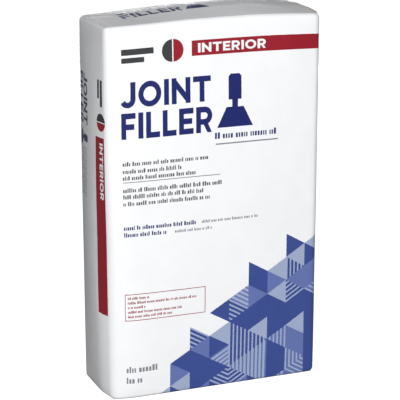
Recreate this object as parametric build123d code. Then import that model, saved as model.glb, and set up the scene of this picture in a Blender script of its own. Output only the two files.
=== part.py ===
from build123d import *
import os
from dataclasses import dataclass

# A filled multiwall paper sack of dry joint compound, standing on its block bottom.
#
# The sack is a tube of three paper plies, glued down its back, around a block of packed powder.
# At each end the tube's side walls fold in first, as tucks, and then the front and back walls,
# as two long flaps that overlap. A pasted cover patch closes each end. The filling valve, a
# flattened paper sleeve, lies between the right tuck and the flaps of the top end.
#
# Millimetres. X is across the front panel, Y from front to back, Z up. The origin is the
# middle of the sack's footprint, on the surface that it stands on.

# Driving dimensions
WIDTH = 277.5  # over the side panels
DEPTH = 101.0  # front panel to the lap of the back seam
HEIGHT = 457.0  # over both cover patches
CORNER_RADIUS = 9.0  # upright corners of the filled sack, outside

INNER_PLY = 0.13  # natural kraft
BARRIER_PLY = 0.15  # kraft with a polyethylene coat
OUTER_PLY = 0.13  # white, clay coated and printed
PATCH = 0.15
GLUE = 0.08

SEAM_LAP = 30.0  # how far the outer ply's edge overlaps its other edge
SEAM_START = 45.0  # where the overlap starts, from the middle of the back
SEAM_SLIT = 0.3  # between the covered edge and the step that the covering edge makes
SEAM_STEP = 1.0
SEAM_GLUE_INSET = 4.0

FLAP_OVERLAP = 25.0  # of the two long flaps, along the middle of an end
PATCH_INSET = 3.0  # from the sack's faces to the edge of a cover patch
GLUE_INSET = 6.0  # from a sheet's edge to its glue
STRIP_INSET = 1.5  # the same in the narrow overlap of the long flaps

SLEEVE_LENGTH = 130.0
SLEEVE_WIDTH = 78.0  # laid flat
SLEEVE_WALL = 0.15
SLEEVE_GAP = 0.4  # the passage, pressed nearly shut by the fill
THUMB_NOTCH_RADIUS = 11.0

# Worked out from these
GROWTH = (0.0, INNER_PLY, INNER_PLY + BARRIER_PLY, INNER_PLY + BARRIER_PLY + OUTER_PLY)
WALL = GROWTH[-1]
LAP_RISE = GLUE + OUTER_PLY
SLEEVE = SLEEVE_GAP + 2 * SLEEVE_WALL
FILL_WIDTH = WIDTH - 2 * WALL
FILL_DEPTH = DEPTH - LAP_RISE - 2 * WALL
FILL_RADIUS = CORNER_RADIUS - WALL
BACK = FILL_DEPTH / 2 + WALL  # the outer ply's back face, beside the lap
FOLD_X = FILL_WIDTH / 2 - FILL_RADIUS  # half of a long flap's fold line
FOLD_Y = FILL_DEPTH / 2 - FILL_RADIUS  # half of a tuck's fold line
MITRE_X = FOLD_X - FILL_DEPTH / 2  # half of a long flap's free edge
FLAP_REACH = FLAP_OVERLAP / 2  # how far a long flap passes the middle of the end
TUCK_END = FILL_WIDTH / 2 - FILL_DEPTH / 2 - FLAP_REACH  # a tuck's free edge, from the middle
OVER = 5.0  # how far a cutting block runs past what it cuts


def rectangle(low_x, high_x, low_y, high_y):
    """A rectangle between those coordinates."""
    middle = Pos((low_x + high_x) / 2, (low_y + high_y) / 2)
    return middle * Rectangle(high_x - low_x, high_y - low_y)


def block(low_x, high_x, low_y, high_y, low_z, high_z):
    """A box between those coordinates."""
    return Pos(0, 0, low_z) * extrude(rectangle(low_x, high_x, low_y, high_y), high_z - low_z)


def section(growth):
    """The fill's cross-section, grown outwards."""
    return RectangleRounded(
        FILL_WIDTH + 2 * growth, FILL_DEPTH + 2 * growth, FILL_RADIUS + growth
    )


@dataclass
class End:
    """Where each layer of one end starts, as a distance outwards from the fill's face."""

    face: float  # height of the fill's face
    outwards: int  # 1 at the top and -1 at the bottom
    left_tuck: float
    right_tuck: float
    front_flap: float

    @property
    def back_flap(self):
        return self.front_flap + WALL + GLUE

    @property
    def patch(self):
        return self.back_flap + WALL + GLUE

    def height(self, distance):
        return self.face + self.outwards * distance

    def slab(self, sketch, distance, thickness):
        """A flat layer of that outline, which starts at that distance."""
        low = min(self.height(distance), self.height(distance + thickness))
        return Pos(0, 0, low) * extrude(sketch, thickness, dir=(0, 0, 1))


# At the bottom the flaps lie on the tucks. At the top they lie on the valve sleeve and on the
# left tuck, and the right tuck lies under the sleeve.
BOTTOM_FLAP = WALL + GLUE
TOP_FLAP = WALL + GLUE + SLEEVE + GLUE
END_LAYERS = 2 * (WALL + GLUE) + PATCH
BOTTOM = End(BOTTOM_FLAP + END_LAYERS, -1, 0.0, 0.0, BOTTOM_FLAP)
TOP = End(HEIGHT - TOP_FLAP - END_LAYERS, 1, TOP_FLAP - GLUE - WALL, 0.0, TOP_FLAP)


def mirrored(right):
    """The face whose right half has those corners."""
    left = [(-x, y) for x, y in reversed(right)]
    return make_face(Polyline(*right, *left, close=True))


def long_flap(growth, side):
    """The front (side -1) or back (side 1) flap: mitred from its corners to the middle of the
    end, and then straight to its free edge."""
    fold = (FOLD_X, side * (FILL_DEPTH / 2 + growth))
    corner = (FOLD_X, side * FILL_DEPTH / 2)
    return mirrored([fold, corner, (MITRE_X, 0), (MITRE_X, -side * FLAP_REACH)])


def tuck(growth, side):
    """The left (side -1) or right (side 1) tuck, a rectangle."""
    ends = sorted((side * TUCK_END, side * (FILL_WIDTH / 2 + growth)))
    return rectangle(*ends, -FOLD_Y, FOLD_Y)


def ply(index):
    """One ply: a tube with its tucks and flaps folded in at both ends."""
    inner, outer = GROWTH[index], GROWTH[index + 1]
    thickness = outer - inner
    low = BOTTOM.height(BOTTOM.back_flap + outer)
    high = TOP.height(TOP.back_flap + outer)
    sheet = Pos(0, 0, low) * extrude(section(outer) - section(inner), high - low)
    for end in (BOTTOM, TOP):
        # Each wall stops where it folds in. The upright corners stop with the front and back.
        front = rectangle(-WIDTH, WIDTH, -DEPTH, 0)
        left = rectangle(-WIDTH, 0, -FOLD_Y, FOLD_Y)
        right = rectangle(0, WIDTH, -FOLD_Y, FOLD_Y)
        sheet -= end.slab(front, end.front_flap + outer, OVER)
        sheet -= end.slab(left, end.left_tuck + outer, OVER)
        sheet -= end.slab(right, end.right_tuck + outer, OVER)
        sheet += end.slab(tuck(outer, -1), end.left_tuck + inner, thickness)
        sheet += end.slab(tuck(outer, 1), end.right_tuck + inner, thickness)
        sheet += end.slab(long_flap(outer, -1), end.front_flap + inner, thickness)
        sheet += end.slab(long_flap(outer, 1), end.back_flap + inner, thickness)
    return sheet


def seam_strip(low_x, high_x, low_y, high_y):
    """A strip down the back, from fold to fold."""
    low = BOTTOM.height(BOTTOM.back_flap)
    high = TOP.height(TOP.back_flap)
    return block(low_x, high_x, low_y, high_y, low, high)


def outer_printed_ply():
    """The outer ply is open down its back: past a slit, one edge steps over the other."""
    slit = seam_strip(SEAM_START, SEAM_START + SEAM_SLIT, BACK - OUTER_PLY, BACK)
    step = seam_strip(SEAM_START - SEAM_STEP, SEAM_START, BACK, BACK + LAP_RISE)
    lap = seam_strip(SEAM_START, SEAM_START + SEAM_LAP, BACK + GLUE, BACK + LAP_RISE)
    return ply(2) - slit + step + lap


def back_seam_adhesive():
    left = SEAM_START + SEAM_GLUE_INSET
    right = SEAM_START + SEAM_LAP - SEAM_GLUE_INSET
    return seam_strip(left, right, BACK, BACK + GLUE)


def powder_fill():
    return Pos(0, 0, BOTTOM.face) * extrude(section(0), TOP.face - BOTTOM.face)


def valve_sleeve():
    """A flattened tube with its mouth at the right end of the top. A notch in the mouth's upper
    wall lets a thumb part the two walls."""
    mouth = WIDTH / 2
    middle = TOP.height(WALL + GLUE + SLEEVE / 2)
    walls = SlotOverall(SLEEVE_WIDTH, SLEEVE)
    passage = SlotOverall(SLEEVE_WIDTH - 2 * SLEEVE_WALL, SLEEVE_GAP)
    across = Plane(origin=(mouth - SLEEVE_LENGTH, 0, middle), x_dir=(0, 1, 0), z_dir=(1, 0, 0))
    tube = extrude(across * (walls - passage), SLEEVE_LENGTH)
    notch = Pos(mouth, 0, middle) * extrude(Circle(THUMB_NOTCH_RADIUS), SLEEVE)
    return tube - notch


def valve_adhesive():
    """Glue between the sleeve and the right tuck below it, and between the sleeve and the front
    flap above it."""
    half_width = SLEEVE_WIDTH / 2 - GLUE_INSET
    inner_end = WIDTH / 2 - SLEEVE_LENGTH + GLUE_INSET
    below = rectangle(TUCK_END + GLUE_INSET, FOLD_X, -half_width, half_width)
    above = rectangle(inner_end, MITRE_X - GLUE_INSET, -half_width, FLAP_REACH - GLUE_INSET)
    return [
        TOP.slab(below, WALL, GLUE),
        TOP.slab(above, WALL + GLUE + SLEEVE, GLUE),
    ]


def tuck_adhesive(end, side):
    """Glue between a tuck and the mitred end of the front flap, a right triangle."""
    near_x = TUCK_END + GLUE_INSET
    front_y = GLUE_INSET - FOLD_Y
    mitre_sum = MITRE_X - GLUE_INSET  # x + y along the glue's mitred edge
    corners = [(near_x, front_y), (mitre_sum - front_y, front_y), (near_x, mitre_sum - near_x)]
    glue = make_face(Polyline(*[(side * x, y) for x, y in corners], close=True))
    return end.slab(glue, end.front_flap - GLUE, GLUE)


def flap_adhesive(end):
    """Glue between the front and back flaps, where they overlap."""
    half_length = MITRE_X - GLUE_INSET
    half_width = FLAP_REACH - STRIP_INSET
    strip = rectangle(-half_length, half_length, -half_width, half_width)
    return end.slab(strip, end.front_flap + WALL, GLUE)


def patch_adhesive(end):
    """Glue between the back flap and the cover patch, mitred as the flap is."""
    edge = MITRE_X - GLUE_INSET
    glue = mirrored([(edge + FOLD_Y, FOLD_Y), (edge, 0), (edge, GLUE_INSET - FLAP_REACH)])
    return end.slab(glue, end.back_flap + WALL, GLUE)


def cover_patch(end):
    patch = Rectangle(WIDTH - 2 * PATCH_INSET, 2 * (BACK - PATCH_INSET))
    return end.slab(patch, end.patch, PATCH)


def save(node, *solids):
    """Writes one sub-part, with the lap of the back seam counted in the depth."""
    centred = [Pos(0, -LAP_RISE / 2, 0) * solid for solid in solids]
    shape = centred[0] if len(centred) == 1 else Compound(children=centred)
    export_step(shape, f"parts/{node}.step")


os.makedirs("parts", exist_ok=True)
save("powder_fill", powder_fill())
save("inner_kraft_ply", ply(0))
save("barrier_ply", ply(1))
save("outer_printed_ply", outer_printed_ply())
save("back_seam_adhesive", back_seam_adhesive())
save("valve_sleeve", valve_sleeve())
save("valve_adhesive", *valve_adhesive())
save("top_flap_adhesive", tuck_adhesive(TOP, -1), flap_adhesive(TOP))
save("top_patch_adhesive", patch_adhesive(TOP))
save("top_cover_patch", cover_patch(TOP))
save("bottom_flap_adhesive", *[tuck_adhesive(BOTTOM, s) for s in (-1, 1)], flap_adhesive(BOTTOM))
save("bottom_patch_adhesive", patch_adhesive(BOTTOM))
save("bottom_cover_patch", cover_patch(BOTTOM))
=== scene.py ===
import math
import random
from dataclasses import dataclass

import bmesh
import bpy
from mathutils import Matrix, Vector, noise
from mathutils.bvhtree import BVHTree
from mathutils.geometry import barycentric_transform, delaunay_2d_cdt
from mathutils.kdtree import KDTree


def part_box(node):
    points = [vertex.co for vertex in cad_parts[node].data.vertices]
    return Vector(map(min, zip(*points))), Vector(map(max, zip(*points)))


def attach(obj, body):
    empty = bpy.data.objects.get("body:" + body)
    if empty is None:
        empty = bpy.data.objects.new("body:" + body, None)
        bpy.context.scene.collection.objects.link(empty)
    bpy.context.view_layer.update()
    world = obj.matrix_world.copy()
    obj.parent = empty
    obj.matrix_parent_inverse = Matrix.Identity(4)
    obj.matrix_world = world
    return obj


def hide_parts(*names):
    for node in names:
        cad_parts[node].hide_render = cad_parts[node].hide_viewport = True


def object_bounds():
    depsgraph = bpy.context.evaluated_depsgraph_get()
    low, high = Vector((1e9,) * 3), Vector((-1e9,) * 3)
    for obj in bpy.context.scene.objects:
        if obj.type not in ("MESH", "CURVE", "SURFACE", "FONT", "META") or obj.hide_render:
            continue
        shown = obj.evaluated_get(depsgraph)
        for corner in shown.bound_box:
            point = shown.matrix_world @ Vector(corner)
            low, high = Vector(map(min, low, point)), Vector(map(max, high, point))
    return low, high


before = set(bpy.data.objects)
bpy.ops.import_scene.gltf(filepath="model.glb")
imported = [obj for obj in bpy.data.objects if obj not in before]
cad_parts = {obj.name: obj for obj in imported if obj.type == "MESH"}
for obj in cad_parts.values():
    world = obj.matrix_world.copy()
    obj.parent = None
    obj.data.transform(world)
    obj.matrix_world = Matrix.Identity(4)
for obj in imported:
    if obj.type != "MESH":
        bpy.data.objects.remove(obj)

# The looks of a filled paper sack of joint compound. Every ply is cut as one flat blank, which
# carries its print, and is then folded round the fill. A cloth simulation of the closed sack
# says how the fill swells it, and every piece follows that.
#
# Lengths are in millimetres, and become metres as a mesh is made. "Depth" is how far a surface
# lies below the outer ply's outer face.

CAD_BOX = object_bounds()
MM = 0.001

# Sizes from the frame, and the thicknesses and folds that the design has
LOW, HIGH = (corner / MM for corner in CAD_BOX)
OUTER_PLY, BARRIER_PLY, INNER_PLY = 0.13, 0.15, 0.13
WALL = OUTER_PLY + BARRIER_PLY + INNER_PLY
GLUE = 0.08
PATCH = 0.15
LAP_RISE = GLUE + OUTER_PLY
HEIGHT = HIGH.z
FRONT_Y, BACK_Y = LOW.y, HIGH.y - LAP_RISE
MIDDLE_Y = (FRONT_Y + BACK_Y) / 2
HALF_WIDTH, HALF_DEPTH = HIGH.x, (BACK_Y - FRONT_Y) / 2
RADIUS = 9.0  # upright corners
FLAT_X, FLAT_Y = HALF_WIDTH - RADIUS, HALF_DEPTH - RADIUS  # half of each wall between corners
CORNER = RADIUS * math.pi / 2  # along a corner's arc
SEAM_X = 45.0  # where the covering edge of the back seam starts to overlap
SEAM_LAP = 30.0
SEAM_STEP = 1.5  # the covering edge climbs onto the covered one over this length
FOLD = 4.0  # outer radius of the folds at both ends
FOLD_ARC = FOLD * math.pi / 2
FLAP_REACH = 12.5  # how far a long flap passes the middle of an end
RING = 6.0  # how far the corners turn in over an end
SLEEVE_LOW, SLEEVE_HIGH = (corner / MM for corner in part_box("valve_sleeve"))
SLEEVE = SLEEVE_HIGH.z - SLEEVE_LOW.z
SLEEVE_WALL = 0.15
CELL = 8.0  # spacing of mesh points on flat paper
PATCH_INSET = 3.0  # from the sack's faces to the edge of a cover patch
GLUE_INSET = 6.0  # from a sheet's edge to its glue
SEAM_GLUE_INSET = 4.0
STRIP_INSET = 1.5  # the same in the narrow overlap of the long flaps
NOTCH = 11.0  # radius of the thumb notch in the sleeve's mouth
CORNER_STEPS = 6
FOLD_STEPS = 3

# How far outwards each wall's fold stands from the fill's face, at each end
TOP_FLAP = WALL + GLUE + SLEEVE + GLUE
TOP_FOLDS = {
    "left": TOP_FLAP - GLUE,
    "right": WALL,
    "front": TOP_FLAP + WALL,
    "back": TOP_FLAP + 2 * WALL + GLUE,
}
BOTTOM_FOLDS = {
    "left": WALL,
    "right": WALL,
    "front": 2 * WALL + GLUE,
    "back": 3 * WALL + 2 * GLUE,
}
TOP_FACE = HEIGHT - TOP_FOLDS["back"] - GLUE - PATCH
BOTTOM_FACE = BOTTOM_FOLDS["back"] + GLUE + PATCH


# --- The folded shape -------------------------------------------------------------------------


@dataclass
class Stretch:
    """A part of the walk round the sack: a flat wall, or the arc of a corner."""

    wall: str  # "" for a corner
    before: str  # for a corner, the walls on its two sides
    after: str
    start: float
    length: float
    origin: Vector  # a wall's first point or a corner's centre
    heading: float


def walk_round():
    """The walk starts at the covered edge of the back seam, goes by the right side, the front
    and the left side, and ends at the covering edge. The sack is on its right-hand side."""
    walls = [
        ("back", FLAT_X - SEAM_X, Vector((SEAM_X, BACK_Y))),
        ("right", 2 * FLAT_Y, Vector((HALF_WIDTH, MIDDLE_Y + FLAT_Y))),
        ("front", 2 * FLAT_X, Vector((FLAT_X, FRONT_Y))),
        ("left", 2 * FLAT_Y, Vector((-HALF_WIDTH, MIDDLE_Y - FLAT_Y))),
        ("back", FLAT_X + SEAM_X + SEAM_LAP, Vector((-FLAT_X, BACK_Y))),
    ]
    stretches = []
    start, heading = 0.0, 0.0
    for i, (wall, length, origin) in enumerate(walls):
        stretches.append(Stretch(wall, wall, wall, start, length, origin, heading))
        start += length
        if i + 1 < len(walls):
            end = origin + length * direction(heading)
            centre = end - RADIUS * outward(heading)
            stretches.append(Stretch("", wall, walls[i + 1][0], start, CORNER, centre, heading))
            start += CORNER
        heading -= math.pi / 2
    return stretches


def direction(heading):
    return Vector((math.cos(heading), math.sin(heading)))


def outward(heading):
    return direction(heading + math.pi / 2)


WALK = walk_round()
WALK_END = WALK[-1].start + WALK[-1].length
_, RIGHT_START, FRONT_START, LEFT_START, SEAM_SIDE_START = (s.start for s in WALK if s.wall)


def smooth(x):
    """0 below 0, 1 above 1, and a smooth step between."""
    x = clamped(x, 0.0, 1.0)
    return x * x * (3 - 2 * x)


def clamped(x, low, high):
    return min(max(x, low), high)


def stretch_at(u):
    return next((s for s in WALK if u <= s.start + s.length), WALK[-1])


def fold_at(stretch, along, folds):
    blend = 0.0 if stretch.wall else along / stretch.length
    return folds[stretch.before] * (1 - blend) + folds[stretch.after] * blend


def folded(u, s, depth):
    """Where a point of a ply's blank lies on the folded sack, and the way it faces. u runs along
    the walk, and s up the wall: 0 and HEIGHT are the folds, and past them are the flaps."""
    stretch = stretch_at(u)
    along = u - stretch.start
    if stretch.wall:
        heading = stretch.heading
        foot = stretch.origin + along * direction(heading)
    else:
        heading = stretch.heading - along / RADIUS
        foot = stretch.origin + RADIUS * outward(heading)
    out = outward(heading).to_3d()
    high = TOP_FACE + fold_at(stretch, along, TOP_FOLDS)
    low = BOTTOM_FACE - fold_at(stretch, along, BOTTOM_FOLDS)
    past_top = s - (HEIGHT - FOLD)
    past_bottom = FOLD - s
    past = max(past_top, past_bottom)
    if past <= 0:
        z = low + FOLD + (s - FOLD) * (high - low - 2 * FOLD) / (HEIGHT - 2 * FOLD)
        normal, point = out, Vector((foot.x, foot.y, z))
    else:
        up = Vector((0, 0, 1 if past_top > 0 else -1))
        edge = high if past_top > 0 else low
        angle = min(past / FOLD_ARC, 1) * math.pi / 2
        normal = out * math.cos(angle) + up * math.sin(angle)
        inwards = FOLD * (1 - math.cos(angle)) + max(past - FOLD_ARC, 0)
        point = Vector((foot.x, foot.y, edge)) - out * inwards - up * FOLD * (1 - math.sin(angle))
    return point - normal * depth, normal


# --- The swelling -----------------------------------------------------------------------------


def block(cell, depth, low_z, high_z, edge=0.0):
    """A closed mesh of the sack's rounded block, that far below the outer face. Both its ends
    have edges of that radius."""
    mesh = bmesh.new()
    ring = []
    for stretch in WALK[:-1]:
        steps = math.ceil(stretch.length / cell) if stretch.wall else CORNER_STEPS // 2
        ring += [stretch.start + i * stretch.length / steps for i in range(steps)]
    last = WALK[-1]
    last_length = last.length - SEAM_LAP
    steps = math.ceil(last_length / cell)
    ring += [last.start + i * last_length / steps for i in range(steps)]
    angles = spaced(0, math.pi / 2, FOLD_STEPS)[1:] if edge else []
    bend = [(edge * (1 - math.sin(a)), depth + edge * (1 - math.cos(a))) for a in angles]
    levels = [(low_z + inwards, deep) for inwards, deep in reversed(bend)]
    rows = math.ceil((high_z - low_z) / cell)
    levels += [(z, depth) for z in spaced(low_z + edge, high_z - edge, rows)]
    levels += [(high_z - inwards, deep) for inwards, deep in bend]
    rings = []
    for z, deep in levels:
        feet = [folded(u, HEIGHT / 2, deep)[0].to_2d() for u in ring]
        rings.append([mesh.verts.new((p.x, p.y, z)) for p in feet])
    count = len(ring)
    for below, above in zip(rings, rings[1:]):
        for i in range(count):
            j = (i + 1) % count
            mesh.faces.new((below[i], below[j], above[j], above[i]))
    margin = 0.7 * cell
    reach_x, reach_y = HALF_WIDTH - margin, HALF_DEPTH - margin
    xs = spaced(-reach_x, reach_x, round(2 * reach_x / cell))
    ys = spaced(MIDDLE_Y - reach_y, MIDDLE_Y + reach_y, round(2 * reach_y / cell))
    inner = [p for p in grid(xs, ys) if outside_straight_part(p) < RADIUS - margin]
    points, _, triangles, origins, _, _ = delaunay_2d_cdt(
        feet + inner, [], [list(range(count))], 1, 1e-4, True
    )
    for level, corners in ((low_z, rings[0]), (high_z, rings[-1])):
        verts = [
            corners[o[0]] if o and o[0] < count else mesh.verts.new((p.x, p.y, level))
            for p, o in zip(points, origins)
        ]
        for triangle in triangles:
            mesh.faces.new([verts[i] for i in triangle])
    bmesh.ops.recalc_face_normals(mesh, faces=mesh.faces[:])
    bmesh.ops.scale(mesh, vec=(MM, MM, MM), verts=mesh.verts[:])
    return mesh


def outside_straight_part(p):
    """How far a point of the sack's cross-section lies from the box of its corners' centres."""
    return math.hypot(max(abs(p.x) - FLAT_X, 0), max(abs(p.y - MIDDLE_Y) - FLAT_Y, 0))


def spaced(low, high, steps):
    return [low + (high - low) * i / steps for i in range(steps + 1)]


def grid(xs, ys):
    return [Vector((x, y)) for x in xs for y in ys]


SIM_CELL = 9.0
SIM_FRAMES = 16
MOST_SWELL = 3.6  # the furthest that the fill may push the paper out
SETTLED = 60.0  # below this height the floor holds the sack flat
DENT = 0.35  # how deep the paper's shallow dents are
DENT_SIZE = 70.0
noise.seed_set(1)  # without a seed, the dents would differ from run to run
SIDE_SWELL = 3.6  # how far the narrow sides swell further, as the fill presses on their corners
SIDE_FULLNESS = 0.4  # nearer to 0, they swell as far near their ends as at half height
# How the top rises along its front edge and along its crest: at its left end, and what it gains
FRONT_RISE = (2.5, 5.0)
CREST_RISE = (5.2, 11.7)
# The rise along the top, and from its front to its back, is a part of a sine's wave, to these
# angles. A lean above 1 moves its highest point towards the right.
ALONG_TOP, LEAN = 2.65, 1.2
OVER_TOP = 2.4
RISE_FADE = 4  # the power of the height with which the rise fades down the walls
SOFT_CORNER = Vector((-HALF_WIDTH, FRONT_Y))  # an upright edge that is pressed in at its foot
SOFT_REACH = 34.0
SOFT_DEPTH = 4.5
SOFT_FADE = 1.2  # above 1, it is pressed in fully for a stretch above its foot


def swollen(cage):
    """The places of the cage's points once the fill presses it out, by a cloth simulation."""
    modifier = cage.modifiers.new("Fill", "CLOTH")
    paper = modifier.settings
    paper.quality = 6
    paper.tension_stiffness = 400
    paper.compression_stiffness = 400
    paper.shear_stiffness = 400
    paper.bending_stiffness = 50
    paper.use_pressure = True
    paper.uniform_pressure_force = 1
    paper.effector_weights.gravity = 0
    modifier.point_cache.frame_end = SIM_FRAMES
    for number in range(1, SIM_FRAMES + 1):
        bpy.context.scene.frame_set(number)
    shown = cage.evaluated_get(bpy.context.evaluated_depsgraph_get())
    places = [v.co.copy() for v in shown.data.vertices]
    cage.modifiers.remove(modifier)
    bpy.context.scene.frame_set(1)
    return places


def dents(point):
    """A small, smooth and uneven movement, the same each time."""
    return noise.noise_vector(point / (DENT_SIZE * MM)) * DENT * MM


def side_swell(point):
    """How the narrow sides belly out between their corners."""
    deep = (point.y - MIDDLE_Y) / HALF_DEPTH
    at_side = smooth((abs(point.x) - FLAT_X) / RADIUS)
    up = max(math.sin(math.pi * point.z / HEIGHT), 0)
    out = Vector((math.copysign(SIDE_SWELL, point.x), 0, 0))
    return out * (1 - deep**2) * at_side * up**SIDE_FULLNESS


def lift(point):
    """How the top is pushed up: most between its middle and the valve's end, where the sack was
    filled. It slopes up from its front edge to a crest, and less far down to its back."""
    across = clamped(point.x / HALF_WIDTH / 2 + 0.5, 0, 1)
    back = (point.y - FRONT_Y) / HALF_DEPTH / 2
    wave = math.sin(ALONG_TOP * across**LEAN)
    front, crest = (start + gain * wave for start, gain in (FRONT_RISE, CREST_RISE))
    rise = front + (crest - front) * math.sin(OVER_TOP * back)
    return Vector((0, 0, rise * (point.z / HEIGHT) ** RISE_FADE))


def soft_corner(point):
    """How one upright edge is pressed in towards its foot."""
    near = smooth(1 - (point.to_2d() - SOFT_CORNER).length / SOFT_REACH)
    inwards = Vector((1, 1, 0)) * SOFT_DEPTH
    return inwards * near * smooth(SOFT_FADE * (1 - point.z / HEIGHT))


def moves(cage):
    """How far each of the cage's points moves: its swelling, and the sack's own unevenness."""
    rest = [v.co.copy() for v in cage.data.vertices]
    ends = swollen(cage)
    swell = [end - start for start, end in zip(rest, ends)]
    share = MOST_SWELL * MM / max(max(v.length for v in swell), MOST_SWELL * MM)
    result = []
    for start, move in zip(rest, swell):
        place = start / MM
        uneven = side_swell(place) + lift(place) + soft_corner(place)
        move = move * share + dents(start) + uneven * MM
        move.z *= smooth(place.z / SETTLED)
        result.append(move)
    return result


def smoothed(mesh, points):
    """The points of that mesh's smooth subdivision, with its corners at those points."""
    copy = mesh.copy()
    for vertex, point in zip(copy.vertices, points):
        vertex.co = point
    piece = bpy.data.objects.new("Smoothed", copy)
    bpy.context.scene.collection.objects.link(piece)
    piece.modifiers.new("Smooth", "SUBSURF").levels = 2
    result = bpy.data.meshes.new_from_object(
        piece.evaluated_get(bpy.context.evaluated_depsgraph_get())
    )
    bpy.data.objects.remove(piece)
    bpy.data.meshes.remove(copy)
    return result


class Swelling:
    """Moves any point of the flat-sided sack to its place on the swollen one."""

    def __init__(self):
        mesh = bpy.data.meshes.new("Cage")
        block(SIM_CELL, 0.0, 0.0, HEIGHT).to_mesh(mesh)
        cage = bpy.data.objects.new("Cage", mesh)
        bpy.context.scene.collection.objects.link(cage)
        rest = [v.co.copy() for v in mesh.vertices]
        after = [point + move for point, move in zip(rest, moves(cage))]
        before_mesh, after_mesh = smoothed(mesh, rest), smoothed(mesh, after)
        self.before = [v.co.copy() for v in before_mesh.vertices]
        self.move = [a.co - b for a, b in zip(after_mesh.vertices, self.before)]
        before_mesh.calc_loop_triangles()
        self.triangles = [tuple(t.vertices) for t in before_mesh.loop_triangles]
        self.tree = BVHTree.FromPolygons(self.before, self.triangles)
        bpy.data.objects.remove(cage)
        for done in (mesh, before_mesh, after_mesh):
            bpy.data.meshes.remove(done)

    def __call__(self, point, guide):
        """Moves a point as its guide, a point of the sheet's outer face, moves. Both are in
        millimetres, and the result is in metres."""
        near, _, index, _ = self.tree.find_nearest(guide * MM)
        a, b, c = self.triangles[index]
        move = barycentric_transform(
            near,
            self.before[a], self.before[b], self.before[c],
            self.move[a], self.move[b], self.move[c],
        )
        return point * MM + move


settle = Swelling()


# --- Cutting and folding paper ----------------------------------------------------------------

EDGE_STEP = 3.0  # spacing of mesh points along the edges of paper and print


def stepped(corners):
    """A closed outline with points added along its sides."""
    result = []
    for start, end in zip(corners, corners[1:] + corners[:1]):
        steps = max(1, math.ceil((end - start).length / EDGE_STEP))
        result += [start.lerp(end, i / steps) for i in range(steps)]
    return result


def turn(corners):
    """Twice the area inside an outline: above 0 if it runs anticlockwise."""
    return sum(a.cross(b) for a, b in zip(corners, corners[1:] + corners[:1]))


def anticlockwise(corners):
    return corners if turn(corners) > 0 else corners[::-1]


def even_grid(outline, cell=CELL):
    """Points all over an outline's box, which the cutting trims to the outline."""
    ranges = []
    for axis in (0, 1):
        low, high = (f(p[axis] for p in outline) for f in (min, max))
        ranges.append(spaced(low, high, max(1, math.ceil((high - low) / cell)))[1:-1])
    return grid(*ranges)


def cut(outline, points, prints=(), lines=()):
    """Cuts a flat blank into triangles along its prints. Each print is (ink, corners), and a
    later one lies over an earlier one. Lines join some of the points, and no triangle crosses
    them. Gives the points, the triangles and their inks."""
    edge = anticlockwise(stepped(outline))
    verts = edge + points
    lines = [(a + len(edge), b + len(edge)) for a, b in lines]
    for _, corners in prints:
        corners = stepped(corners)
        around = range(len(verts), len(verts) + len(corners))
        lines += zip(around, [*around[1:], around[0]])
        verts += corners
    flat, _, triangles, _, _, _ = delaunay_2d_cdt(
        verts, lines, [list(range(len(edge)))], 1, 1e-3, False
    )
    triangles = [t for t in triangles if inside(middle_of([flat[i] for i in t]), outline)]
    return flat, triangles, inks_on(flat, triangles, prints)


def inks_on(points, triangles, prints):
    """The ink on each triangle, or None."""
    middles = KDTree(len(triangles))
    for i, triangle in enumerate(triangles):
        middles.insert(middle_of([points[corner] for corner in triangle]).to_3d(), i)
    middles.balance()
    inks = [None] * len(triangles)
    for ink, corners in prints:
        middle = middle_of(corners)
        reach = max((corner - middle).length for corner in corners)
        for point, i, _ in middles.find_range(middle.to_3d(), reach):
            if inside(point, corners):
                inks[i] = ink
    return inks


def middle_of(points):
    return sum(points, Vector((0, 0))) / len(points)


def inside(point, corners):
    """Whether an outline goes round that point: a line across from it meets an odd number of
    its sides."""
    odd = False
    for a, b in zip(corners, corners[1:] + corners[:1]):
        if (a.y > point.y) != (b.y > point.y):
            odd ^= point.x < a.x + (b.x - a.x) * (point.y - a.y) / (b.y - a.y)
    return odd


def add_sheet(mesh, blank, place, thickness, slots, above=0.0):
    """Adds a blank to a mesh, as a closed solid. place(x, y, depth) gives a point of it, whose
    outer face is at the depth of above. slots gives the material slot of each ink."""
    points, triangles, inks = blank
    verts = {}
    for i in sorted({corner for triangle in triangles for corner in triangle}):
        x, y = points[i]
        guide = place(x, y, 0.0)
        for layer, depth in enumerate((above, above + thickness)):
            verts[i, layer] = mesh.verts.new(settle(place(x, y, depth), guide))
    sides = set()
    for triangle, ink in zip(triangles, inks):
        outer = mesh.faces.new([verts[i, 0] for i in triangle])
        outer.material_index = slots.get(ink, 0)
        mesh.faces.new([verts[i, 1] for i in reversed(triangle)])
        sides.update(zip(triangle, triangle[1:] + triangle[:1]))
    for a, b in sorted(sides):
        if (b, a) not in sides:
            mesh.faces.new((verts[b, 0], verts[a, 0], verts[a, 1], verts[b, 1]))


def sheet(name, node, blank, place, thickness, materials, above=0.0):
    """A piece of paper or glue. materials gives its own material, under None, and its inks."""
    mesh = bmesh.new()
    add_sheet(mesh, blank, place, thickness, {ink: i for i, ink in enumerate(materials)}, above)
    return finished(name, node, mesh, materials.values())


def finished(name, node, mesh, materials):
    """Makes a piece of the mesh, in place of that CAD node."""
    bmesh.ops.recalc_face_normals(mesh, faces=mesh.faces[:])
    data = bpy.data.meshes.new(name)
    mesh.to_mesh(data)
    mesh.free()
    for material in materials:
        data.materials.append(material)
    data.shade_smooth()
    data.set_sharp_from_angle(angle=math.radians(50))
    piece = bpy.data.objects.new(name, data)
    bpy.context.scene.collection.objects.link(piece)
    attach(piece, "root")
    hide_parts(node)
    return piece


# --- The plies --------------------------------------------------------------------------------

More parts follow.
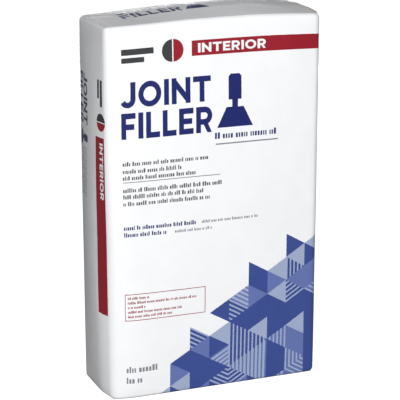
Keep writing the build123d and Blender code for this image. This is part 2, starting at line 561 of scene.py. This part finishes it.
PAST_FOLD = FOLD_ARC - 2 * FOLD  # a blank is this much longer at a fold than the sharp corner


def blank_end(end, last):
    """The blank's outline past the folds of one end (1 for the top, -1 for the bottom), along
    the walk as far as last: two tucks, the long flaps with their mitres, and the corners."""

    def at(u, reach):
        past = PAST_FOLD + reach
        return Vector((u, HEIGHT + past if end > 0 else -past))

    full = HALF_DEPTH + FLAP_REACH
    result = []
    for stretch in WALK:
        a, b = stretch.start, min(stretch.start + stretch.length, last)
        if stretch.wall in ("left", "right"):
            result += [at(a, RING), at(a, full), at(b, full), at(b, RING)]
        elif stretch.wall:
            mitred_from = a if stretch is WALK[0] else a + HALF_DEPTH
            mitred_to = b if stretch is WALK[-1] else b - HALF_DEPTH
            if stretch is not WALK[0]:
                result += [at(a, RING), at(mitred_from, HALF_DEPTH)]
            result += [at(mitred_from, full), at(mitred_to, full)]
            if stretch is not WALK[-1]:
                result += [at(mitred_to, HALF_DEPTH), at(b, RING)]
    return result


def blank_grid():
    """Mesh points on a ply's blank, closer together where it bends, and lines along its bends."""
    columns, bent_columns = [], []
    for stretch in WALK:
        steps = math.ceil(stretch.length / CELL) if stretch.wall else CORNER_STEPS
        along = spaced(stretch.start, stretch.start + stretch.length, steps)
        columns += along[:-1]
        if not stretch.wall:
            bent_columns += along
    step = [WALK_END - SEAM_LAP - SEAM_STEP * i / 2 for i in range(3)]
    bent_columns += step
    columns = sorted([*columns, *step, WALK_END])
    bend = [FOLD - FOLD_ARC * i / FOLD_STEPS for i in range(FOLD_STEPS + 1)]
    flap_rows = math.ceil((HALF_DEPTH + FLAP_REACH) / CELL)
    flaps = [bend[-1] - CELL * i for i in range(1, flap_rows + 1)]
    bent_rows = [side for s in bend for side in (s, HEIGHT - s)]
    rows = spaced(FOLD, HEIGHT - FOLD, round(HEIGHT / CELL))[1:-1] + bent_rows
    rows = sorted(rows + [side for s in flaps for side in (s, HEIGHT - s)])
    lines = []
    for i, u in enumerate(columns):
        for j, s in enumerate(rows):
            here = i * len(rows) + j
            if s in bent_rows and i:
                lines.append((here - len(rows), here))
            if u in bent_columns and j:
                lines.append((here - 1, here))
    return grid(columns, rows), lines


def closed(u, s, depth):
    """A point of an inner ply, whose two edges meet."""
    return folded(u, s, depth)[0]


def lapped(u, s, depth):
    """A point of the outer ply, whose covering edge climbs onto its covered one."""
    point, normal = folded(u, s, depth)
    return point + normal * LAP_RISE * smooth((u - WALK_END + SEAM_LAP) / SEAM_STEP + 1)


def ply(name, node, above, thickness, materials, place=closed, lap=0.0, prints=()):
    """One of the sack's plies, which lies that far below the outer face. Its edges overlap by
    its lap."""
    points, lines = blank_grid()
    last = WALK_END - SEAM_LAP + lap
    blank = cut(blank_end(1, last) + blank_end(-1, last)[::-1], points, prints, lines)
    return sheet(name, node, blank, place, thickness, materials, above)


# --- Print ------------------------------------------------------------------------------------


WORD = (2, 8)  # the fewest and the most letters in a word of small print
# The letters' least and greatest width, their heights and gaps, as shares of the print's size
BLOCK_WIDTH = (0.2, 0.42)
BLOCK_HEIGHTS = (0.72, 0.72, 0.72, 1.0)
BLOCK_GAP, WORD_GAP = 0.16, 0.36


class Panel:
    """A place to print. Its x runs from its left edge and its y down from its top edge, and
    place(x, y) is that point of the blank."""

    def __init__(self, prints, place):
        self.prints = prints
        self.place = place

    def shape(self, ink, corners):
        self.prints.append((ink, [self.place(x, y) for x, y in corners]))

    def bar(self, ink, x, y, width, height):
        self.shape(ink, [(x, y), (x + width, y), (x + width, y + height), (x, y + height)])

    def half_disc(self, ink, x, y, radius, side):
        """The left (side -1) or right (side 1) half of a disc."""
        angles = spaced(-math.pi / 2, math.pi / 2, 16)
        self.shape(
            ink, [(x + side * radius * math.cos(a), y + radius * math.sin(a)) for a in angles]
        )

    def words(self, ink, x, y, width, size):
        """A line of small print that can't be read: words of plain blocks, like letters."""
        chance = random.Random(f"{ink} {x} {y}")
        end = x + width
        while x < end:
            for _ in range(chance.randint(*WORD)):
                letter = size * chance.uniform(*BLOCK_WIDTH)
                if x + letter > end:
                    break
                tall = size * chance.choice(BLOCK_HEIGHTS)
                self.bar(ink, x, y + size - tall, letter, tall)
                x += letter + size * BLOCK_GAP
            x += size * WORD_GAP

    def lettering(self, ink, text, x, y, width, height):
        """Bold capitals that fill that box."""
        total = sum(LETTERS[letter][0] + LETTER_GAP for letter in text) - LETTER_GAP
        unit = width / total
        for letter in text:
            breadth, strokes = LETTERS[letter]
            for stroke in strokes:
                outline = [(x + unit * a, y + height * clamped(b, 0, 1)) for a, b in broad(stroke)]
                self.shape(ink, outline)
            x += unit * (breadth + LETTER_GAP)


def arc(x, y, radius, start, end):
    """Points along an arc, from one angle to another in degrees, with y down."""
    angles = [math.radians(a) for a in spaced(start, end, math.ceil((end - start) / 15))]
    return [(x + radius * math.cos(a), y + radius * math.sin(a)) for a in angles]


def broad(stroke):
    """The outline of a pen's stroke, with square ends and mitred corners."""
    points = [Vector(point) for point in stroke]
    aside = [(b - a).normalized().orthogonal() for a, b in zip(points, points[1:])]
    across = [
        (before + after) / (1 + before.dot(after)) * PEN / 2
        for before, after in zip([aside[0], *aside], [*aside, aside[-1]])
    ]
    there = [point + offset for point, offset in zip(points, across)]
    back = [point - offset for point, offset in zip(points, across)]
    return there + back[::-1]


PEN = 0.22  # how broad a letter's strokes are, where the letter is 1 high
HALF = PEN / 2  # half a stroke
FOOT = 1 - HALF
LETTER_GAP = 0.12
# Each letter's width, and its strokes from the top left. Where one leaves the letter's height, it
# is cut off level.
LETTERS = {
    "E": (
        0.66,
        [[(0.66, HALF), (HALF, HALF), (HALF, FOOT), (0.66, FOOT)], [(HALF, 0.5), (0.6, 0.5)]],
    ),
    "F": (0.64, [[(HALF, 1), (HALF, HALF), (0.64, HALF)], [(HALF, 0.53), (0.58, 0.53)]]),
    "I": (PEN, [[(HALF, 0), (HALF, 1)]]),
    "J": (0.56, [[(0.45, 0), *arc(0.22, 0.66, 0.23, 0, 155)]]),
    "L": (0.62, [[(HALF, 0), (HALF, FOOT), (0.62, FOOT)]]),
    "N": (0.84, [[(HALF, 1), (HALF, 0)], [(0.73, 1), (0.73, 0)], [(HALF, 0.13), (0.73, 0.87)]]),
    "O": (1.0, [arc(0.5, 0.5, 0.39, 0, 190), arc(0.5, 0.5, 0.39, 180, 370)]),
    "R": (
        0.76,
        [
            [(HALF, 1), (HALF, HALF), *arc(0.4, 0.345, 0.235, -90, 90), (PEN, 0.58)],
            [(0.36, 0.5), (0.62, 1.05)],
        ],
    ),
    "T": (0.8, [[(0, HALF), (0.8, HALF)], [(0.4, 0), (0.4, 1)]]),
}


def wall(prints, left):
    """The panel of a wall whose left edge, seen from outside, is that far along the walk."""
    return Panel(prints, lambda x, y: Vector((left - x, HEIGHT - y)))


def turned(panel, x, y):
    """A panel whose text runs down the other one. Its top left corner is at that point."""
    return Panel(panel.prints, lambda along, down: panel.place(x - down, y + along))


KNIFE = (  # its handle, its shank and its blade, as shares of its width and height
    ((0.38, 0.0), (0.62, 0.0), (0.68, 0.05), (0.68, 0.48), (0.32, 0.48), (0.32, 0.05)),
    ((0.42, 0.48), (0.58, 0.48), (0.58, 0.62), (0.42, 0.62)),
    ((0.26, 0.62), (0.74, 0.62), (1.0, 1.0), (0.0, 1.0)),
)


def title(panel, x, y, unit=1.0):
    """The title in two lines, 168 units wide and 67 high, beside a picture of a taping knife."""
    panel.lettering("blue", "JOINT", x + 2 * unit, y, 111 * unit, 30 * unit)
    panel.lettering("blue", "FILLER", x, y + 36 * unit, 115 * unit, 31 * unit)
    for outline in KNIFE:
        panel.shape("blue", [(x + (121 + 47 * a) * unit, y + 63 * b * unit) for a, b in outline])


def header(panel, x, y, unit=1.0, band=0.0):
    """Two short bars, a plain round mark, and a red band of that length with lettering in it."""
    panel.bar("charcoal", x, y + 3 * unit, 40 * unit, 7 * unit)
    panel.bar("charcoal", x, y + 13 * unit, 28 * unit, 6 * unit)
    for ink, side in (("charcoal", -1), ("red", 1)):
        panel.half_disc(ink, x + (64 + 0.7 * side) * unit, y + 9 * unit, 13 * unit, side)
    panel.bar("red", x + 88 * unit, y, band, 17.5 * unit)
    panel.lettering("paper", "INTERIOR", x + 96 * unit, y + 3.4 * unit, 88 * unit, 10.6 * unit)


def note_box(panel, x, y, width, height):
    """A thin outline in red with rows of small print."""
    line = 0.9
    panel.bar("red", x, y, width, height)
    panel.bar("paper", x + line, y + line, width - 2 * line, height - 2 * line)
    for row, share in enumerate((0.30, 0.92, 0.25, 0.72, 0.6)):
        panel.words("red", x + 4, y + 3.5 + row * 5.8, (width - 8) * share, 3.4)


FACET = 26.0  # width of a small facet
FACET_RISE = FACET / math.sqrt(3)  # half of its upright side
FACET_START = 6.0  # how far below the sack's foot the lowest facets' middles lie
LARGE_ROOM = 1.2 * FACET  # how far below the facets' upper limit a large one needs to be
LARGE_SHARE = 0.3
RAGGED = 0.35 * FACET  # how far the facets' upper limit strays up and down
STRIPED_SHARE = 0.22
STRIPE = 5.0  # spacing of the stripes
SHADES = {1: ("deep", "deep", "mid"), -1: ("deep", "mid", "light", "light")}  # by direction
# The facets' upper limit: (from the front's left edge, up from the sack's foot). It climbs to
# the front's right-hand edge and falls again on the right side and the back.
FACET_LIMIT = ((56, 0), (100, 52), (150, 98), (196, 150), (275, 186), (300, 190), (430, 0))


def facet_limit(x):
    for (x0, high0), (x1, high1) in zip(FACET_LIMIT, FACET_LIMIT[1:]):
        if x0 <= x < x1:
            return high0 + (high1 - high0) * (x - x0) / (x1 - x0)
    return -FACET


def facets(panel):
    """Triangles in four blues. Some are four times as large, and some are striped."""
    chance = random.Random(20)
    for column in range(int(FACET_LIMIT[-1][0] / FACET / 2) + 1):
        for row in range(int(HEIGHT / FACET_RISE / 2)):
            side = 1 if (column + row) % 2 else -1
            low = HEIGHT + FACET_START
            middle = Vector(((2 * column + 1) * FACET, low - 2 * row * FACET_RISE))
            tip = middle + Vector((side * FACET, 0))
            base = [middle + Vector((-side * FACET, 2 * FACET_RISE * up)) for up in (-1, 1)]
            large = [tip, *base]
            if room_above(large) > LARGE_ROOM and chance.random() < LARGE_SHARE:
                facet(panel, chance, large, side)
                continue
            halfway = [a.lerp(b, 0.5) for a, b in zip(large, large[1:] + large[:1])]
            small = [([large[i], halfway[i], halfway[i - 1]], side) for i in range(3)]
            for corners, small_side in [*small, (halfway, -side)]:
                room = room_above(corners) + chance.uniform(-RAGGED, RAGGED)
                if room > 0:
                    facet(panel, chance, corners, small_side)


def room_above(corners):
    """How far a facet's middle lies below the facets' upper limit."""
    middle = middle_of(corners)
    return facet_limit(middle.x) - (HEIGHT - middle.y)


def facet(panel, chance, corners, side):
    """Those that point one way are mostly darker than the others, as if lit from that side."""
    shade = chance.choice(SHADES[side])
    panel.shape(shade, corners)
    if chance.random() < STRIPED_SHARE:
        stripes(panel, "light" if shade != "light" else "mid", corners)


def stripes(panel, ink, corners):
    """Stripes along one side of a triangle."""
    tip, a, b = corners
    count = round((a + b - 2 * tip).length / 2 / STRIPE)
    for i in range(count):
        near, far = (i + 0.6) / count, (i + 1) / count
        panel.shape(ink, [tip.lerp(a, near), tip.lerp(a, far), tip.lerp(b, far), tip.lerp(b, near)])


def print_front(panel):
    header(panel, 19, 23, band=FRONT_START + FLAT_X + HALF_WIDTH - 107)
    title(panel, 18, 64)
    panel.words("blue", 136, 132.5, 84, 7.5)
    panel.bar("grey", 137, 145.5, 83, 1.6)
    for y, width in ((158, 108), (167, 75), (175, 92), (190, 126), (198, 104), (206.5, 111)):
        panel.words("text", 19, y, width, 5.2)
    panel.bar("grey", 19, 182.5, 124, 1.0)
    for y, bold, start, thin in ((236.5, 94, 119, 75), (245, 54, 84, 48)):
        panel.words("blue", 19, y, bold, 5.2)
        panel.words("grey", start, y + 1, thin, 3.8)
    note_box(panel, 19, 322, 105, 34)
    panel.words("grey", 20, 415, 44, 8)
    panel.words("grey", 20, 429, 22, 8)


def print_left(panel):
    side = turned(panel, 2 * HALF_DEPTH, 0)
    band = 220
    side.bar("red", 130, 8.5, band, 21.5)  # the band is broader here than a header's own
    header(side, 62, 9, unit=0.78, band=band)
    title(side, 62, 57, unit=0.54)
    for row in range(4):
        side.words("grey", 152, 62 + 6 * row, 62, 3.6)


def print_right(panel):
    title(turned(panel, 92, 66), 0, 0, unit=0.75)


def print_back(panel):
    """All of it lies on the side that covers the seam."""
    panel.bar("red", HALF_WIDTH - SEAM_X - SEAM_LAP, 23, 146, 17.5)
    title(panel, 96, 58, unit=0.85)
    for left, rows in ((96, 24), (172, 18)):
        panel.words("blue", left, 128, 44, 5)
        for row in range(rows):
            width = 68 if row % 6 < 5 else 38
            panel.words("text", left, 137 + 6.5 * row + 4 * (row // 6), width, 3.9)
    note_box(panel, 96, 322, 146, 34)
    for row, width in enumerate((90, 70)):
        panel.words("grey", 96, 374 + 9 * row, width, 5)


def sack_print():
    """Everything printed on the outer ply's blank."""
    prints = []
    front = wall(prints, FRONT_START + FLAT_X + HALF_WIDTH)
    facets(front)
    print_front(front)
    print_left(wall(prints, LEFT_START + 2 * FLAT_Y + RADIUS))
    print_right(wall(prints, RIGHT_START + 2 * FLAT_Y + RADIUS))
    print_back(wall(prints, SEAM_SIDE_START + FLAT_X + HALF_WIDTH))
    return prints


def patch_print():
    """The top patch's print, which reads from the front."""
    prints = []
    panel = Panel(prints, lambda x, y: Vector((x - HALF_WIDTH, BACK_Y - y)))
    title(panel, 36, 20, unit=0.66)
    panel.bar("red", 158, 6, 90, 11)
    return prints


# --- Materials --------------------------------------------------------------------------------


def colour(red, green, blue):
    """A colour from its usual 0 to 255 numbers."""
    linear = [((c / 255 + 0.055) / 1.055) ** 2.4 for c in (red, green, blue)]
    return (*linear, 1.0)


class Shader:
    """A new material, and short ways to add to it."""

    def __init__(self, name):
        self.material = bpy.data.materials.new(name)
        self.material.use_nodes = True
        self.tree = self.material.node_tree
        self.surface = self.tree.nodes["Principled BSDF"]
        self.place = self.add("ShaderNodeTexCoord").outputs["Object"]

    def add(self, kind, **inputs):
        node = self.tree.nodes.new(kind)
        for name, value in inputs.items():
            self.set(node, name.replace("_", " "), value)
        return node

    def set(self, node, name, value):
        if isinstance(value, bpy.types.NodeSocket):
            self.tree.links.new(value, node.inputs[name])
        else:
            node.inputs[name].default_value = value

    def noise(self, scale, detail=3.0, stretch=None):
        place = self.place
        if stretch:
            place = self.add("ShaderNodeMapping", Vector=place, Scale=stretch).outputs["Vector"]
        texture = self.add("ShaderNodeTexNoise", Vector=place, Scale=scale, Detail=detail)
        return texture.outputs["Fac"]

    def between(self, amount, low, high):
        scaled = self.add("ShaderNodeMapRange", Value=amount, To_Min=low, To_Max=high)
        return scaled.outputs["Result"]

    def mixed(self, amount, first, second):
        node = self.tree.nodes.new("ShaderNodeMix")
        node.data_type = "RGBA"
        self.tree.links.new(amount, node.inputs["Factor"])
        for socket, value in ((node.inputs[6], first), (node.inputs[7], second)):
            socket.default_value = value
        return node.outputs[2]

    def bumped(self, heights):
        """Adds bumps. Each is (height, how deep it is in millimetres)."""
        normal = None
        for height, deep in heights:
            bump = self.add("ShaderNodeBump", Height=height, Distance=deep * MM, Strength=1.0)
            if normal:
                self.set(bump, "Normal", normal)
            normal = bump.outputs["Normal"]
        self.set(self.surface, "Normal", normal)


def shaded(tint, share):
    return tuple(c * share for c in tint[:3]) + (1.0,)


def coated_paper(name, tint, rough=0.42, mottle=0.93):
    """Printed, clay-coated paper over soft powder: faint mottling, fibres and slack ripples."""
    shader = Shader(name)
    fibres, cloud, ripple = shader.noise(900), shader.noise(45), shader.noise(22, 2.0)
    shader.set(shader.surface, "Base Color", shader.mixed(cloud, shaded(tint, mottle), tint))
    shader.set(shader.surface, "Roughness", shader.between(fibres, rough - 0.07, rough + 0.09))
    shader.bumped([(ripple, 0.9), (fibres, 0.012)])
    return shader.material


def kraft_paper(name, tint, rough):
    """Brown paper with its fibres along the sack."""
    shader = Shader(name)
    grain, cloud = shader.noise(700, 5.0, (1.0, 1.0, 0.18)), shader.noise(60)
    shader.set(shader.surface, "Base Color", shader.mixed(grain, shaded(tint, 0.72), tint))
    shader.set(shader.surface, "Roughness", shader.between(cloud, rough - 0.08, rough + 0.08))
    shader.bumped([(grain, 0.03)])
    return shader.material


def powder():
    shader = Shader("Powder")
    grains, lumps = shader.noise(1400, 6.0), shader.noise(90, 4.0)
    pale = colour(238, 235, 226)
    shader.set(shader.surface, "Base Color", shader.mixed(lumps, shaded(pale, 0.86), pale))
    shader.set(shader.surface, "Roughness", shader.between(grains, 0.85, 1.0))
    shader.bumped([(lumps, 0.5), (grains, 0.12)])
    return shader.material


def adhesive():
    shader = Shader("Adhesive")
    streaks = shader.noise(160, 3.0, (0.2, 1.0, 1.0))
    cream = colour(226, 217, 190)
    shader.set(shader.surface, "Base Color", shader.mixed(streaks, shaded(cream, 0.85), cream))
    shader.set(shader.surface, "Roughness", shader.between(streaks, 0.2, 0.4))
    shader.bumped([(streaks, 0.04)])
    return shader.material


PAPER = coated_paper("Coated_white", colour(240, 241, 243))
INKS = {
    "blue": coated_paper("Ink_blue", colour(24, 36, 104), 0.34, 0.85),
    "deep": coated_paper("Ink_deep_blue", colour(58, 77, 145), 0.34, 0.85),
    "mid": coated_paper("Ink_mid_blue", colour(98, 114, 172), 0.36, 0.9),
    "light": coated_paper("Ink_light_blue", colour(158, 171, 200), 0.38, 0.9),
    "red": coated_paper("Ink_red", colour(150, 24, 40), 0.34, 0.85),
    "charcoal": coated_paper("Ink_charcoal", colour(56, 58, 60), 0.36, 0.85),
    "text": coated_paper("Ink_text", colour(78, 80, 84), 0.36, 0.85),
    "grey": coated_paper("Ink_grey", colour(130, 132, 140), 0.38, 0.9),
}
PRINTED_PAPER = {None: PAPER, **INKS}
PATCH_PAPER = {None: coated_paper("Patch_white", colour(232, 233, 236), 0.5), **INKS}
BARRIER_KRAFT = {None: kraft_paper("Barrier_kraft", colour(178, 142, 102), 0.4)}
KRAFT = {None: kraft_paper("Kraft", colour(196, 158, 112), 0.75)}
SLEEVE_KRAFT = {None: kraft_paper("Sleeve_kraft", colour(206, 176, 132), 0.7)}
ADHESIVE = {None: adhesive()}
POWDER = powder()


# --- Glue, valve, patches and powder ----------------------------------------------------------

MITRE_X = FLAT_X - HALF_DEPTH  # half of a long flap's free edge
TUCK_END = HALF_WIDTH - HALF_DEPTH - FLAP_REACH  # a tuck's free edge, from the middle
SLEEVE_HALF = (SLEEVE_HIGH.y - SLEEVE_LOW.y) / 2


def rectangle(low_x, high_x, low_y, high_y):
    """Its y values are from the middle of the sack's depth."""
    corners = ((low_x, low_y), (high_x, low_y), (high_x, high_y), (low_x, high_y))
    return [Vector((x, MIDDLE_Y + y)) for x, y in corners]


def at_end(end, distance):
    """The height of what lies that far outwards from the fill's face, at the top or bottom."""
    return TOP_FACE + distance if end > 0 else BOTTOM_FACE - distance


def level(end, distance):
    """The place of a flat sheet's points, whose outer face lies that far out."""

    def place(x, y, depth):
        return Vector((x, y, at_end(end, distance - depth)))

    return place


def glue(name, node, end, layers):
    """A piece of flat layers of glue. Each is (outline, how far out its outer face lies)."""
    mesh = bmesh.new()
    for outline, distance in layers:
        add_sheet(mesh, cut(outline, even_grid(outline)), level(end, distance), GLUE, {})
    return finished(name, node, mesh, ADHESIVE.values())


def tuck_glue(folds, side):
    """The triangle where a tuck is glued to the mitred end of the front flap."""
    near = TUCK_END + GLUE_INSET
    front = GLUE_INSET - FLAT_Y
    mitre = MITRE_X - GLUE_INSET
    corners = ((near, front), (mitre - front, front), (near, mitre - near))
    return [Vector((side * x, MIDDLE_Y + y)) for x, y in corners], folds["front"] - WALL


def flap_glue(folds):
    half_length, half_width = MITRE_X - GLUE_INSET, FLAP_REACH - STRIP_INSET
    return rectangle(-half_length, half_length, -half_width, half_width), folds["front"] + GLUE


def patch_glue(folds):
    edge = MITRE_X - GLUE_INSET
    right = ((edge, GLUE_INSET - FLAP_REACH), (edge, 0), (edge + FLAT_Y, FLAT_Y))
    corners = [*right, *((-x, y) for x, y in reversed(right))]
    return [Vector((x, MIDDLE_Y + y)) for x, y in corners], folds["back"] + GLUE


def valve_glue():
    """The glue below the sleeve and the glue above it."""
    half_width = SLEEVE_HALF - GLUE_INSET
    inner_end = SLEEVE_LOW.x + GLUE_INSET
    below = rectangle(TUCK_END + GLUE_INSET, FLAT_X, -half_width, half_width)
    above = rectangle(inner_end, MITRE_X - GLUE_INSET, -half_width, FLAP_REACH - GLUE_INSET)
    return [(below, WALL + GLUE), (above, TOP_FLAP)]


def seam_glue():
    low, high = WALK_END - SEAM_LAP + SEAM_GLUE_INSET, WALK_END - SEAM_GLUE_INSET
    foot, head = FOLD, HEIGHT - FOLD
    outline = [Vector(p) for p in ((low, foot), (high, foot), (high, head), (low, head))]
    blank = cut(outline, even_grid(outline))
    return sheet("back_seam_glue", "back_seam_adhesive", blank, lapped, GLUE, ADHESIVE, OUTER_PLY)


def valve_tube():
    """The sleeve: a blank that wraps round a flat passage, with its seam underneath and a thumb
    notch in its upper wall. v runs round it from the seam."""
    radius = SLEEVE / 2
    flat, bend = SLEEVE_HALF - radius, math.pi * radius
    around = 4 * flat + 2 * bend
    level = (SLEEVE_LOW.z + SLEEVE_HIGH.z) / 2

    def place(x, v, depth):
        angle = (clamped(v - flat, 0, bend) + clamped(v - 3 * flat - bend, 0, bend)) / radius
        y = (
            clamped(v, 0, flat)
            - clamped(v - flat - bend, 0, 2 * flat)
            + clamped(v - 3 * flat - 2 * bend, 0, flat)
        )
        out = radius - depth
        return Vector((x, MIDDLE_Y + y + out * math.sin(angle), level - out * math.cos(angle)))

    mouth, slit = SLEEVE_HIGH.x, SLEEVE_WALL / 2
    notch = [
        Vector((mouth - NOTCH * math.cos(a), around / 2 + NOTCH * math.sin(a)))
        for a in spaced(-math.pi / 2, math.pi / 2, 12)
    ]
    outline = [
        Vector((SLEEVE_LOW.x, slit)),
        Vector((mouth, slit)),
        *notch,
        Vector((mouth, around - slit)),
        Vector((SLEEVE_LOW.x, around - slit)),
    ]
    rows = spaced(0, around, round(around / CELL))[1:-1]
    rows += spaced(flat, flat + bend, 4) + spaced(3 * flat + bend, 3 * flat + 2 * bend, 4)
    columns = spaced(SLEEVE_LOW.x, mouth, round((mouth - SLEEVE_LOW.x) / CELL))[1:-1]
    blank = cut(outline, grid(columns, sorted(rows)))
    return sheet("valve_sleeve_tube", "valve_sleeve", blank, place, SLEEVE_WALL, SLEEVE_KRAFT)


BRIDGE = 2.5  # how far a patch reaches from a step before it meets the paper below


def stack(x, y, folds, end):
    """How far outwards from the fill's face the folded paper reaches at a point of an end."""
    across, deep = abs(x), y - MIDDLE_Y
    if deep > -FLAP_REACH and across < MITRE_X + max(deep, 0):
        return folds["back"]
    if deep < FLAP_REACH and across < MITRE_X + max(-deep, 0):
        return folds["front"]
    if end > 0 and x > SLEEVE_LOW.x and abs(deep) < SLEEVE_HALF:
        return TOP_FLAP - GLUE
    side = folds["right" if x > 0 else "left"]
    if across > TUCK_END and abs(deep) < FLAT_Y:
        return side
    return max(folds["front"] if deep < 0 else folds["back"], side)


def draped(x, y, folds, end):
    """The same where a patch lies over it and bridges its steps."""
    spread = (-BRIDGE, 0, BRIDGE)
    heights = [
        max(stack(x + dx + ex, y + dy + ey, folds, end) for ex in spread for ey in spread)
        for dx in spread
        for dy in spread
    ]
    return sum(heights) / len(heights)


def cover_patch(name, node, end, folds, prints=()):
    half_length, half_width = HALF_WIDTH - PATCH_INSET, HALF_DEPTH - PATCH_INSET
    outline = rectangle(-half_length, half_length, -half_width, half_width)

    def place(x, y, depth):
        return Vector((x, y, at_end(end, draped(x, y, folds, end) + GLUE + PATCH - depth)))

    blank = cut(outline, even_grid(outline, CELL / 2), prints)
    return sheet(name, node, blank, place, PATCH, PATCH_PAPER)


def powder_block():
    mesh = block(CELL, WALL, BOTTOM_FACE, TOP_FACE, FOLD - WALL)
    for vertex in mesh.verts:
        point = vertex.co / MM
        vertex.co = settle(point, point)
    return finished("powder_block", "powder_fill", mesh, [POWDER])


def end_glue(word, end, folds, sides):
    """All the glue of one end, whose tucks at those sides are glued down."""
    layers = [tuck_glue(folds, side) for side in sides] + [flap_glue(folds)]
    glue(f"{word}_flap_glue", f"{word}_flap_adhesive", end, layers)
    glue(f"{word}_patch_glue", f"{word}_patch_adhesive", end, [patch_glue(folds)])


def outer_ply():
    node = "outer_printed_ply"
    inks = PRINTED_PAPER
    sack = ply("outer_ply", node, 0.0, OUTER_PLY, inks, lapped, SEAM_LAP, sack_print())


def make_sack():
    outer_ply()
    ply("middle_ply", "barrier_ply", OUTER_PLY, BARRIER_PLY, BARRIER_KRAFT)
    ply("inner_ply", "inner_kraft_ply", OUTER_PLY + BARRIER_PLY, INNER_PLY, KRAFT)
    powder_block()
    seam_glue()
    valve_tube()
    glue("valve_glue", "valve_adhesive", 1, valve_glue())
    end_glue("top", 1, TOP_FOLDS, [-1])
    end_glue("bottom", -1, BOTTOM_FOLDS, [-1, 1])
    cover_patch("top_patch", "top_cover_patch", 1, TOP_FOLDS, patch_print())
    cover_patch("bottom_patch", "bottom_cover_patch", -1, BOTTOM_FOLDS)


# --- Camera, floor and light ------------------------------------------------------------------

AIM_RAISE = 1.3  # the camera and the lamps face a point that far above the middle of the sack
TARGET = Vector((0, 0, HEIGHT / 2 + AIM_RAISE)) * MM
DOME_RADIUS = 14.0
DOME_GLOW = 0.97


def aim(piece, azimuth, elevation, distance):
    """Puts a camera or a lamp that many metres from the sack, facing it. Azimuth 0 is in front
    of the sack, and 90 to its right."""
    a, e = math.radians(azimuth), math.radians(elevation)
    back = Vector((math.sin(a) * math.cos(e), -math.cos(a) * math.cos(e), math.sin(e)))
    piece.location = TARGET + back * distance
    piece.rotation_euler = (-back).to_track_quat("-Z", "Y").to_euler()
    bpy.context.scene.collection.objects.link(piece)


def lamp(name, azimuth, elevation, distance, size, watts):
    light = bpy.data.lights.new(name, "AREA")
    light.shape = "DISK"
    light.size = size
    light.energy = watts
    aim(bpy.data.objects.new(name, light), azimuth, elevation, distance)


def camera():
    lens = bpy.data.cameras.new("Camera")
    lens.sensor_width = 36
    lens.lens = 137.3
    piece = bpy.data.objects.new("Camera", lens)
    aim(piece, azimuth=-22.4, elevation=14.64, distance=1.9)
    bpy.context.scene.camera = piece


def studio():
    """A plain, nearly white floor and dome. They glow, so that they are as pale all round, and
    the room's own light passes through the dome."""
    mesh = bmesh.new()
    bmesh.ops.create_uvsphere(mesh, u_segments=64, v_segments=32, radius=DOME_RADIUS)
    for vertex in mesh.verts:
        vertex.co.z = max(vertex.co.z, 0)
    data = bpy.data.meshes.new("Studio")
    mesh.to_mesh(data)
    mesh.free()
    plate = bpy.data.objects.new("Studio", data)
    bpy.context.scene.collection.objects.link(plate)
    plate.visible_diffuse = False
    plate.visible_glossy = False
    plate.visible_shadow = False
    shader = Shader("Studio")
    shader.set(shader.surface, "Base Color", (0.35, 0.35, 0.35, 1))
    shader.set(shader.surface, "Roughness", 0.9)
    shader.set(shader.surface, "Emission Color", (1, 1, 1, 1))
    shader.set(shader.surface, "Emission Strength", DOME_GLOW)
    data.materials.append(shader.material)


def room():
    world = bpy.data.worlds.new("Studio")
    world.use_nodes = True
    world.node_tree.nodes["Background"].inputs["Color"].default_value = (1, 1, 1, 1)
    world.node_tree.nodes["Background"].inputs["Strength"].default_value = 0.17
    bpy.context.scene.world = world
    bpy.context.scene.view_settings.view_transform = "Standard"


make_sack()
camera()
lamp("Key", azimuth=-19, elevation=18, distance=3.0, size=0.95, watts=95)
lamp("Back_fill", azimuth=165, elevation=2, distance=2.4, size=1.2, watts=26)
studio()
room()
